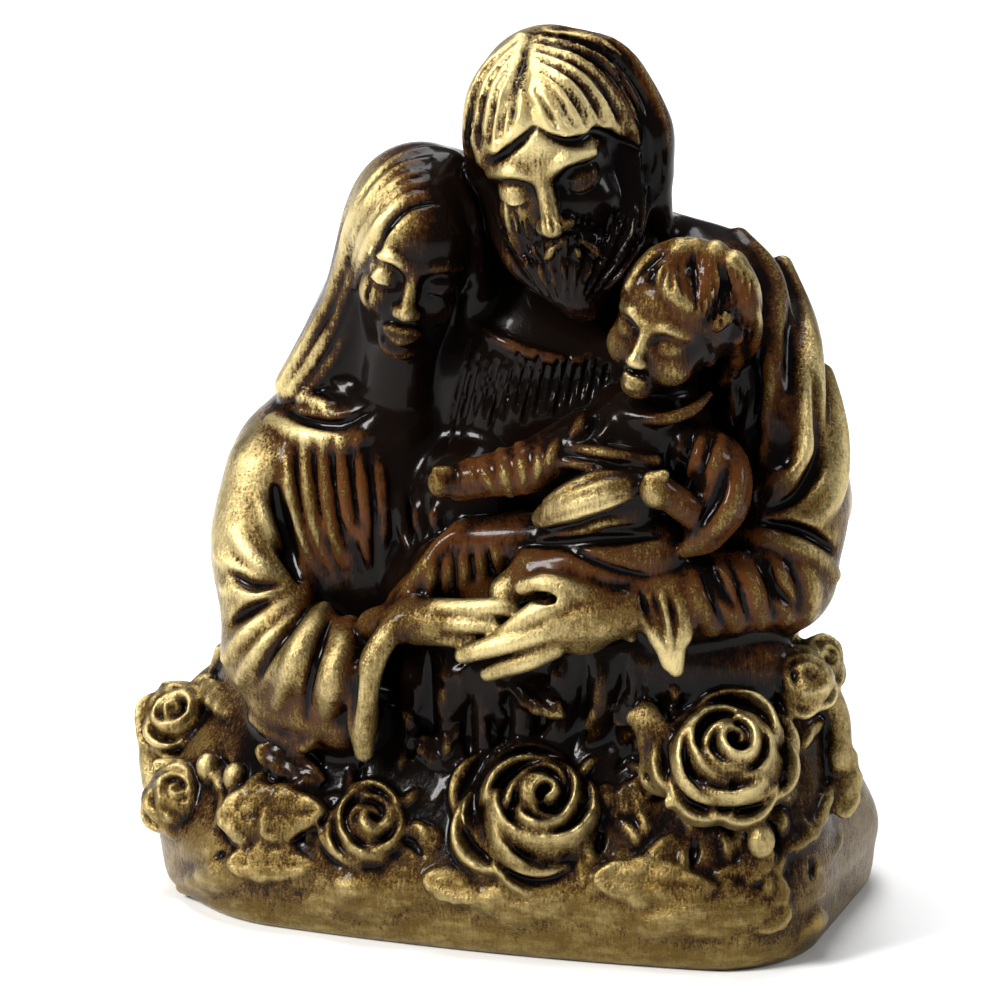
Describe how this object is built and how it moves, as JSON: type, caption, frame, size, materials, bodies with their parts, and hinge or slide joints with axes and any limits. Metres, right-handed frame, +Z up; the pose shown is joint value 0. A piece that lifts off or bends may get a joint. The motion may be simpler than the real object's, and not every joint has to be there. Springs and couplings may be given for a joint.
{
  "type": "holy family statue",
  "caption": "Small cast figure group: a bearded man, a veiled woman and a child, cut at the waist, on an oval mound ringed with roses and leaves; stands on its flat underside.",
  "frame": {"origin": "middle of the whole outline seen from above, on the floor under the flat underside", "axes": "+Z up, -Y the way the figures face, +X towards the child's side, which is the viewer's right"},
  "size_m": [0.091, 0.0488, 0.1096],
  "materials": {
    "gilded_lacquer": "near-black brown gloss lacquer with gold brushed over the raised parts"
  },
  "bodies": {
    "root": {"statue": "gilded_lacquer"}
  },
  "joints": []
}
